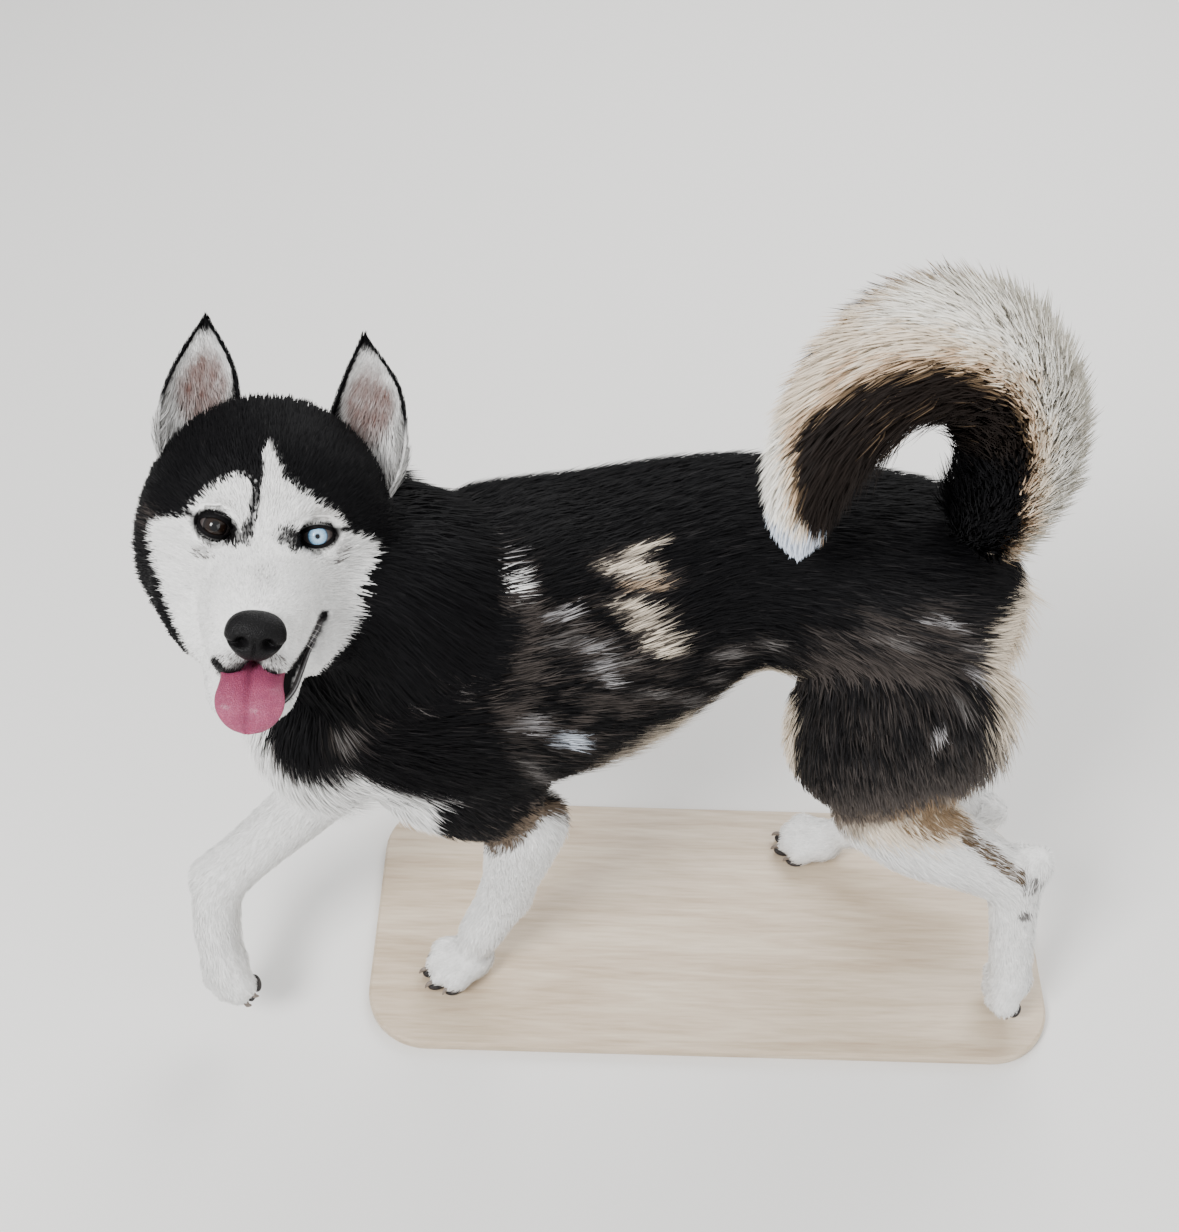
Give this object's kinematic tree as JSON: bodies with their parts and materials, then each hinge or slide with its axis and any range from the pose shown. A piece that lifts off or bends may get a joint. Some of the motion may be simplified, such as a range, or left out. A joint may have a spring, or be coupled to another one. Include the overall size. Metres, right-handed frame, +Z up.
{
  "type": "siberian husky figure",
  "caption": "Life-size still model of a walking siberian husky on a flat wooden base: one forepaw raised, head turned to its left, mouth open, plumed tail curled over its back.",
  "frame": {"origin": "on the floor, under the middle of the model's bounding box", "axes": "-X the way the animal walks, -Y its left side, +Z up; the floor and the underside of the base are z = 0"},
  "size_m": [0.8074, 0.3848, 0.8263],
  "materials": {
    "black_coat": "matt fur",
    "grey_coat": "matt fur",
    "white_coat": "matt fur",
    "cream_coat": "matt fur",
    "tongue": "moist",
    "nose_leather": "moist, finely grained",
    "blue_eye": "glossy",
    "brown_eye": "glossy",
    "base_wood": "satin varnish"
  },
  "bodies": {
    "root": {"torso": "black_coat", "neck": "black_coat", "head": "white_coat", "lower_jaw": "white_coat", "tongue": "tongue", "nose": "nose_leather", "eye_left": "blue_eye", "eye_right": "brown_eye", "ear_left": "black_coat", "ear_right": "black_coat", "foreleg_left_upper": "black_coat", "foreleg_left_forearm": "white_coat", "foreleg_left_paw": "white_coat", "foreleg_right_upper": "black_coat", "foreleg_right_forearm": "white_coat", "foreleg_right_paw": "white_coat", "hindleg_left_thigh": "grey_coat", "hindleg_left_shank": "white_coat", "hindleg_left_foot": "white_coat", "hindleg_right_thigh": "grey_coat", "hindleg_right_shank": "white_coat", "hindleg_right_foot": "white_coat", "tail_root": "black_coat", "tail_rise": "cream_coat", "tail_arch": "cream_coat", "tail_tip": "cream_coat", "stand_base": "base_wood"}
  },
  "joints": []
}
